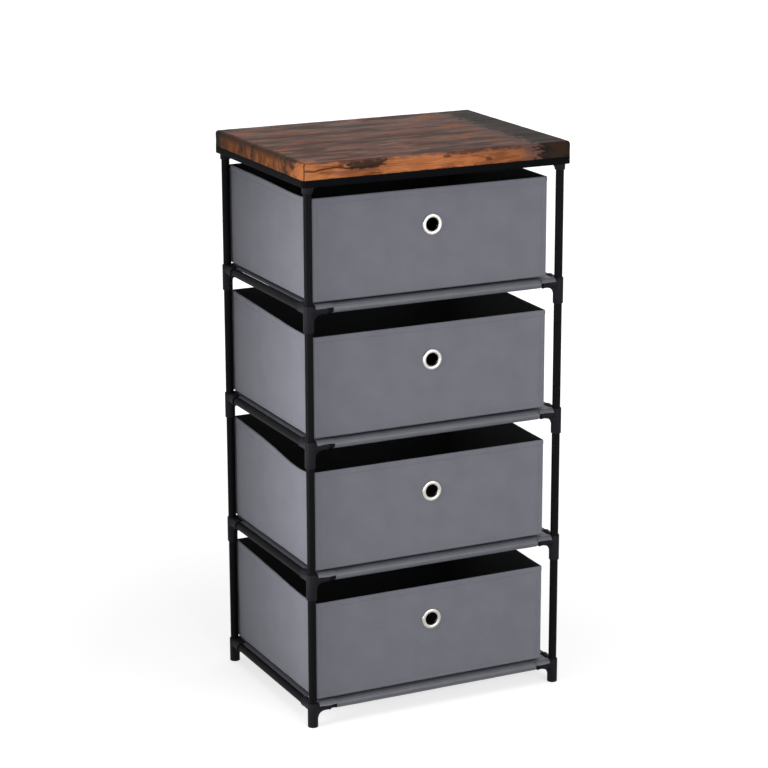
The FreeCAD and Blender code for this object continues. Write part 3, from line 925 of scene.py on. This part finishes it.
def wall_rows(wall):
    """Rows of (height, inset, grooved) from the underside, up the outside, over the rim and down the inside.

    Comes with the number of the row on top of the rim, where the lining starts.
    """
    top, hem, thick = wall.height / MM, (wall.height - wall.sizes.hem) / MM, wall.sizes.wall / MM
    foot = [(0.0, 5.0, 0), (0.0, 2.0, 0), (0.4, 0.8, 0), (1.4, 0.1, 0), (2.4, -0.35, 0), (3.4, -0.35, 0),
            (4.2, 0.15, 0), (5.2, 0.3, 0), (7.0, 0.0, 1)]
    panel = [(7.0 + (hem - 9.0) * i / 22, 0.0, 1) for i in range(1, 23)]
    fold = [(hem - 1.0, 0.1, 1), (hem - 0.4, 0.45, 0), (hem + 0.1, 0.45, 0), (hem + 0.6, -0.25, 0),
            (hem + 1.6, -0.45, 0), (top - 3.0, -0.45, 0)]
    rim = [(top - 1.2, -0.35, 0), (top - 0.3, 0.35, 0), (top, thick / 2, 0), (top - 0.3, thick - 0.35, 0)]
    inside = [(top - 1.4, thick + 0.1, 0), (top - 8.0, thick + 0.3, 0)]
    inside += [(hem - 1.0 - (hem - 1.0 - thick) * i / 14, thick, 0) for i in range(15)]
    outside = foot + panel + fold + rim
    rows = [(height * MM, inset * MM, grooved) for height, inset, grooved in outside + inside]
    return rows, len(outside) - 1


def bin_mesh(wall, name):
    """Closed sewn shell: outside, rolled rim, inside and both faces of the floor."""
    rows, rim = wall_rows(wall)
    bm = bmesh.new()
    cloth_uv = bm.loops.layers.uv.new("cloth")
    rings, climbed = [], [0.0]
    for height, inset, grooved in rows:
        rings.append([bm.verts.new(wall.point(station, height, inset + grooved * wall.seam_groove(station)))
                      for station in wall.stations])
    for (height, inset, _), (next_height, next_inset, _) in zip(rows, rows[1:]):
        climbed.append(climbed[-1] + math.hypot(next_height - height, next_inset - inset))
    for face, row, place, ahead in skinned(bm, rings):
        face.material_index = 1 if row >= rim else 0
        start, end = wall.stations[place].run, wall.stations[ahead].run if ahead else wall.run
        low, high = climbed[row:row + 2]
        for loop, corner in zip(face.loops, ((start, low), (end, low), (end, high), (start, high))):
            loop[cloth_uv].uv = corner
    for ring, material in ((rings[0], 0), (rings[-1], 1)):
        floor = bm.faces.new(ring)
        floor.material_index = material
        for loop in floor.loops:
            loop[cloth_uv].uv = loop.vert.co.xy
    return mesh_from(bm, name, smooth_angle=60.0)


def hole_centre(wall):
    """Middle of the finger hole, on the flat front of the drawer's box."""
    return Vector(((wall.low.x + wall.high.x) / 2, wall.low.y, wall.high.z - wall.sizes.hole_below_rim))


def pierced(mesh, wall):
    """The shell with its finger hole."""
    radius, reach = wall.sizes.hole_diameter / 2, 8 * MM
    punch = turned_mesh("punch", [(0, -reach), (radius, -reach), (radius, reach), (0, reach)],
                        hole_centre(wall), Vector((0, 1, 0)))
    return combined(mesh.name, mesh, [punch], "DIFFERENCE")


def seam_lines(wall):
    """Paths of the thread: round the hem and down beside every corner."""
    hem = wall.height - wall.sizes.hem
    round_hem = [wall.point(station, hem + 0.3 * MM, -0.2 * MM) for station in wall.stations]
    start, end, steps = 8 * MM, hem - 2 * MM, 24
    heights = [start + (end - start) * i / steps for i in range(steps + 1)]
    beside_corners = [[wall.point(station, height, 0.25 * MM) for height in heights]
                      for station in wall.stations if wall.off_seam(station) < 0.01 * MM]
    return [round_hem + round_hem[:1], *beside_corners]


def stitch_tree():
    """Node tree that sets a stitch at every pitch along edges."""
    name = "sewn_stitches"
    if name in bpy.data.node_groups:
        return bpy.data.node_groups[name]
    tree = bpy.data.node_groups.new(name, "GeometryNodeTree")
    for label, kind in (("Geometry", "Geometry"), ("Stitch pitch", "Float"), ("Stitch length", "Float"),
                        ("Thread diameter", "Float"), ("Thread", "Material")):
        tree.interface.new_socket(label, in_out="INPUT", socket_type="NodeSocket" + kind)
    tree.interface.new_socket("Geometry", in_out="OUTPUT", socket_type="NodeSocketGeometry")
    given = add_node(tree, "NodeGroupInput").outputs
    path = add_node(tree, "GeometryNodeMeshToCurve", {"Mesh": given["Geometry"]})
    spaced = add_node(tree, "GeometryNodeResampleCurve", {"Curve": path, "Length": given["Stitch pitch"]},
                      mode="LENGTH")
    bead = add_node(tree, "GeometryNodeMeshUVSphere", {"Segments": 6, "Rings": 5, "Radius": 0.5})
    size = add_node(tree, "ShaderNodeCombineXYZ", {
        "X": given["Thread diameter"], "Y": given["Thread diameter"], "Z": given["Stitch length"]})
    stitch = add_node(tree, "GeometryNodeTransform", {"Geometry": bead, "Scale": size})
    tangent = add_node(tree, "GeometryNodeInputTangent")
    turn = add_node(tree, "FunctionNodeAlignRotationToVector", {"Vector": tangent}, axis="Z")
    uneven = add_node(tree, "FunctionNodeRandomValue", {2: 0.85, 3: 1.1, "Seed": 11}, data_type="FLOAT")
    row = add_node(tree, "GeometryNodeInstanceOnPoints", {
        "Points": spaced, "Instance": stitch, "Rotation": turn, "Scale": uneven.outputs[1]})
    real = add_node(tree, "GeometryNodeRealizeInstances", {"Geometry": row})
    smooth = add_node(tree, "GeometryNodeSetShadeSmooth", {"Geometry": real})
    dressed = add_node(tree, "GeometryNodeSetMaterial", {"Geometry": smooth, "Material": given["Thread"]})
    add_node(tree, "NodeGroupOutput", {"Geometry": dressed})
    return tree


def stitched(name, paths):
    """Plain stitches along the paths."""
    sizes, tree = settings("drawer"), stitch_tree()
    points, edges = [], []
    for path in paths:
        edges += [(len(points) + i, len(points) + i + 1) for i in range(len(path) - 1)]
        points += path
    mesh = bpy.data.meshes.new(name)
    mesh.from_pydata(points, edges, [])
    guide = new_object(name, mesh)
    modifier = guide.modifiers.new("stitches", "NODES")
    modifier.node_group = tree
    values = {
        "Stitch pitch": sizes.stitch_pitch,
        "Stitch length": sizes.stitch_length,
        "Thread diameter": sizes.thread_diameter,
        "Thread": polyester_sewing_thread(),
    }
    for item in tree.interface.items_tree:
        if item.in_out == "INPUT" and item.name in values:
            modifier[item.identifier] = values[item.name]
    stitches = finished_mesh(guide)
    if not len(stitches.polygons):
        raise RuntimeError(name + ": the node tree made no stitches")
    return new_object(name, stitches)


class DRESSER_OT_drawer_bins(bpy.types.Operator):
    """Sewn fabric drawers with hemmed rims, corner seams and stitches"""
    bl_idname = "dresser.drawer_bins"
    bl_label = "Drawer bins"

    def execute(self, context):
        for drawer in range(1, TIERS + 1):
            wall, name = Wall(drawer), "drawer_%d" % drawer
            mesh = bin_mesh(wall, name + "_fabric")
            mesh.materials.append(spunbond_nonwoven_grey())
            mesh.materials.append(spunbond_nonwoven_black())
            shell = new_object(name + "_fabric", pierced(mesh, wall))
            show_piece(shell, name, "bin", name + "_bin")
            show_piece(stitched(name + "_stitches", seam_lines(wall)), name, "bin")
        return {"FINISHED"}


class DRESSER_OT_base_boards(bpy.types.Operator):
    """Stiff cloth-covered boards on the drawer floors"""
    bl_idname = "dresser.base_boards"
    bl_label = "Base boards"

    def execute(self, context):
        for drawer in range(1, TIERS + 1):
            node = "drawer_%d_base_board" % drawer
            low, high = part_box(node)
            bm = bmesh.new()
            bmesh.ops.create_cube(bm, size=1.0)
            bmesh.ops.transform(bm, verts=bm.verts, matrix=Matrix.Translation((low + high) / 2)
                                @ Matrix.Diagonal((*(high - low), 1.0)))
            upright = [edge for edge in bm.edges if abs(edge.verts[0].co.z - edge.verts[1].co.z) > 1 * MM]
            bmesh.ops.bevel(bm, geom=upright, offset=5 * MM, segments=5, affect="EDGES", profile=0.5)
            bmesh.ops.bevel(bm, geom=bm.edges[:], offset=0.8 * MM, segments=3, affect="EDGES", profile=0.5)
            cloth_uv = bm.loops.layers.uv.new("cloth")
            for face in bm.faces:
                for loop in face.loops:
                    loop[cloth_uv].uv = loop.vert.co.xy
            mesh = mesh_from(bm, node + "_covered")
            board = new_object(node + "_covered", mesh, spunbond_nonwoven_black())
            show_piece(board, "drawer_%d" % drawer, "base_board", node)
        return {"FINISHED"}


def grommet_section(sizes):
    """Domed flange, barrel through the wall and washer inside, as (radius, behind the face) pairs."""
    bore, flange, crown = sizes.grommet_bore / 2, sizes.grommet_flange / 2, sizes.grommet_crown
    barrel, washer, wall, lip = 12.0 * MM, 14.75 * MM, sizes.wall, 0.35 * MM
    section = []
    for step in range(13):
        angle = math.pi * step / 12
        radius = flange - (flange - bore) * (1 - math.cos(angle)) / 2
        section.append((radius, -lip - (crown - lip) * math.sin(angle) ** 0.8))
    back, soft, thin = wall + 1.0 * MM, 0.4 * MM, 0.1 * MM
    section += [(bore, back - 0.3 * MM), (bore + soft, back), (washer - soft, back), (washer, back - soft),
                (washer, wall + 0.3 * MM), (barrel, wall + 0.3 * MM), (barrel, thin),
                (flange - 0.2 * MM, thin), (flange, 0.0)]
    return section


class DRESSER_OT_grommets(bpy.types.Operator):
    """Pressed metal rings in the finger holes"""
    bl_idname = "dresser.grommets"
    bl_label = "Grommets"

    def execute(self, context):
        for drawer in range(1, TIERS + 1):
            node = "drawer_%d_grommet" % drawer
            wall = Wall(drawer)
            centre = hole_centre(wall)
            nearest = min(wall.stations, key=lambda station: (station.place - centre.xy).length)
            centre.y = wall.point(nearest, wall.height - wall.sizes.hole_below_rim).y
            mesh = turned_mesh(node + "_ring", grommet_section(wall.sizes), centre, Vector((0, 1, 0)))
            ring = new_object(node + "_ring", mesh, nickel_plated_brass())
            show_piece(ring, "drawer_%d" % drawer, "grommet", node)
        return {"FINISHED"}


# ---- top ----
def round_rectangle(low, high, radius, spacing):
    """Points and outward directions round a rectangle with round corners, from its front left corner."""
    loop = []
    for start, along, outward, length in sides_of(low, high, radius):
        for step in range(CORNER_STEPS + 1):
            angle = math.pi / 2 * step / CORNER_STEPS
            spoke = outward * math.sin(angle) - along * math.cos(angle)
            loop.append((start + (spoke - outward) * radius, spoke))
        count = max(1, round(length / spacing))
        loop += [(start + along * (length * i / count), outward) for i in range(1, count)]
    return loop


def loop_mesh(name, loop, rows, shift=lambda point, outward: Vector()):
    """Closed shell from rows of (height, inset) round a loop, capped top and bottom or joined end to end.

    shift is how far the surface stands off its place at a point.
    """
    bm = bmesh.new()
    joined = rows[0] == rows[-1]
    rings = []
    for height, inset in rows[:-1] if joined else rows:
        rings.append([])
        for place, outward in loop:
            point = (place - outward * inset).to_3d() + Vector((0, 0, height))
            rings[-1].append(bm.verts.new(point + shift(point, outward)))
    skinned(bm, rings + rings[:1] if joined else rings)
    if not joined:
        bm.faces.new(rings[0])
        bm.faces.new(rings[-1])
    return mesh_from(bm, name, smooth_angle=50.0)


class DRESSER_OT_top_board(bpy.types.Operator):
    """Wood-look board with hewn edges and a rebated underside"""
    bl_idname = "dresser.top_board"
    bl_label = "Top board"

    def execute(self, context):
        sizes = settings("board")
        low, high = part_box("top_board")
        seat = sleeve_top(TIERS + 1) + 0.4 * MM
        radius, soft, wear = sizes.edge_radius, 0.6 * MM, 8 * MM
        rows = [(seat, sizes.rim), (low.z, sizes.rim), (low.z, soft)]
        rows += [(low.z + soft + (high.z - radius - low.z - soft) * i / 6, 0.0) for i in range(7)]
        for step in range(1, 9):
            angle = math.pi / 2 * step / 8
            rows.append((high.z - radius * (1 - math.sin(angle)), radius * (1 - math.cos(angle))))

        def hewn(point, outward):
            """Cuts into the long and short edges, less and less towards the lower edge."""
            depth = abs(unevenness(point / (30 * MM))) * sizes.hewn
            depth *= min(max((point.z - low.z) / wear, 0.0), 1.0)
            sunk = 0.5 * depth if point.z > high.z - radius else 0.0
            return outward.to_3d() * -depth - Vector((0, 0, sunk))

        loop = round_rectangle(low, high, sizes.corner_radius, 4 * MM)
        mesh = loop_mesh("top_board_plank", loop, rows, hewn)
        board = new_object("top_board_plank", mesh, rustic_wood_print_film(low, high))
        show_piece(board, "frame", "board", "top_board")
        return {"FINISHED"}


class DRESSER_OT_edge_band(bpy.types.Operator):
    """Dark strip round the lower edge of the board"""
    bl_idname = "dresser.edge_band"
    bl_label = "Edge band"

    def execute(self, context):
        sizes = settings("board")
        low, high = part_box("edge_band")
        soft, rim = 0.6 * MM, sizes.rim
        rows = [(low.z + soft, 0.0), (high.z, 0.0), (high.z, rim), (low.z + soft, rim), (low.z, rim - soft),
                (low.z, soft), (low.z + soft, 0.0)]
        loop = round_rectangle(low, high, sizes.corner_radius, 12 * MM)
        band = new_object("edge_band_strip", loop_mesh("edge_band_strip", loop, rows), black_brown_pvc_edge())
        show_piece(band, "frame", "band", "edge_band")
        return {"FINISHED"}


# ---- stage ----
LENS, SENSOR = 119.6, 36.0
CAMERA_AT = Vector((-1.7447, -3.5697, 1.5862))
CAMERA_YAW, CAMERA_PITCH, CAMERA_ROLL = 0.45171, 0.26822, -0.00295
FLOOR_LIFT = 0.69               # brightness of the floor's glow beside the dresser, out of 1 far from it
SKY_LIGHT = 0.335               # how strongly the white surroundings light the dresser, out of 1 where seen


def camera_matrix():
    """Stands at CAMERA_AT, turned from +Y towards +X by the yaw, down by the pitch, and rolled."""
    yaw, pitch, roll = CAMERA_YAW, CAMERA_PITCH, CAMERA_ROLL
    ahead = Vector((math.sin(yaw) * math.cos(pitch), math.cos(yaw) * math.cos(pitch), -math.sin(pitch)))
    level = Vector((math.cos(yaw), -math.sin(yaw), 0.0))
    above = level.cross(ahead)
    right = level * math.cos(roll) + above * math.sin(roll)
    up = above * math.cos(roll) - level * math.sin(roll)
    turn = Matrix((right, up, -ahead)).transposed().to_4x4()
    return Matrix.Translation(CAMERA_AT) @ turn


def add_light(name, place, aim, size, power, spread=180.0):
    lamp = bpy.data.lights.new(name, "AREA")
    lamp.shape, lamp.size, lamp.size_y, lamp.energy = "RECTANGLE", *size, power
    lamp.spread = math.radians(spread)
    holder = new_object(name, lamp)
    holder.location = place
    holder.rotation_euler = (Vector(aim) - Vector(place)).to_track_quat("-Z", "Y").to_euler()


class DRESSER_OT_stage(bpy.types.Operator):
    """White sweep, soft studio light and camera"""
    bl_idname = "dresser.stage"
    bl_label = "Stage"

    def execute(self, context):
        scene = bpy.context.scene
        bm = bmesh.new()
        bmesh.ops.create_grid(bm, x_segments=1, y_segments=1, size=12.0)
        mesh = bpy.data.meshes.new("floor")
        bm.to_mesh(mesh)
        bm.free()
        new_object("floor", mesh, studio_sweep())

        world = bpy.data.worlds.new("studio")
        world.use_nodes = True
        world.node_tree.nodes.clear()
        tree = world.node_tree
        strength = add_node(tree, "ShaderNodeMapRange", {
            "Value": seen_directly(tree), "To Min": SKY_LIGHT, "To Max": 1.0})
        sky = add_node(tree, "ShaderNodeBackground", {"Color": (1, 1, 1, 1), "Strength": strength})
        add_node(tree, "ShaderNodeOutputWorld", {"Surface": sky})
        scene.world = world

        middle = (0.0, 0.0, 0.45)
        add_light("key", (-1.15, -0.25, 0.36), (-0.2, -0.35, 0.31), (0.4, 1.4), 5.8, spread=72.0)
        add_light("fill", (0.5, -3.1, 0.7), middle, (2.4, 2.4), 81.0)
        add_light("overhead", (0.0, -0.2, 3.2), middle, (2.4, 2.4), 30.0)

        lens = bpy.data.cameras.new("camera")
        lens.lens, lens.sensor_width, lens.sensor_fit = LENS, SENSOR, "HORIZONTAL"
        lens.clip_start, lens.clip_end = 0.1, 50.0
        camera = new_object("camera", lens)
        camera.matrix_world = camera_matrix()
        scene.camera = camera
        scene.view_settings.view_transform = "Standard"
        return {"FINISHED"}


# ---- add-on ----
GROUPS = {
    "dresser_frame": FrameSizes,
    "dresser_cloth": ClothSizes,
    "dresser_drawer": DrawerSizes,
    "dresser_board": BoardSizes,
    "dresser_finishes": Finishes,
}
OPERATORS = (
    DRESSER_OT_stage,
    DRESSER_OT_tubes,
    DRESSER_OT_connectors,
    DRESSER_OT_shelf_cloths,
    DRESSER_OT_drawer_bins,
    DRESSER_OT_base_boards,
    DRESSER_OT_grommets,
    DRESSER_OT_top_board,
    DRESSER_OT_edge_band,
)


class DRESSER_PT_panel(bpy.types.Panel):
    """Lists the dresser's pieces and their sizes"""
    bl_idname = "DRESSER_PT_panel"
    bl_label = "Fabric Drawer Dresser"
    bl_space_type = "VIEW_3D"
    bl_region_type = "UI"
    bl_category = "Dresser"

    def draw(self, context):
        for operator in OPERATORS:
            self.layout.operator(operator.bl_idname)
        for group in GROUPS:
            box = self.layout.box()
            sizes = getattr(context.scene, group)
            for name in sizes.__annotations__:
                box.prop(sizes, name)


def register():
    for group in GROUPS.values():
        bpy.utils.register_class(group)
    for name, group in GROUPS.items():
        setattr(bpy.types.Scene, name, bpy.props.PointerProperty(type=group))
    for cls in (*OPERATORS, DRESSER_PT_panel):
        bpy.utils.register_class(cls)


def unregister():
    for cls in (DRESSER_PT_panel, *reversed(OPERATORS)):
        bpy.utils.unregister_class(cls)
    for name, group in reversed(GROUPS.items()):
        delattr(bpy.types.Scene, name)
        bpy.utils.unregister_class(group)


def plain(bounds):
    return [[float(value) for value in corner] for corner in bounds]


def main():
    register()
    for operator in OPERATORS:
        family, name = operator.bl_idname.split(".")
        getattr(getattr(bpy.ops, family), name)()


if __name__ == "__main__":
    main()
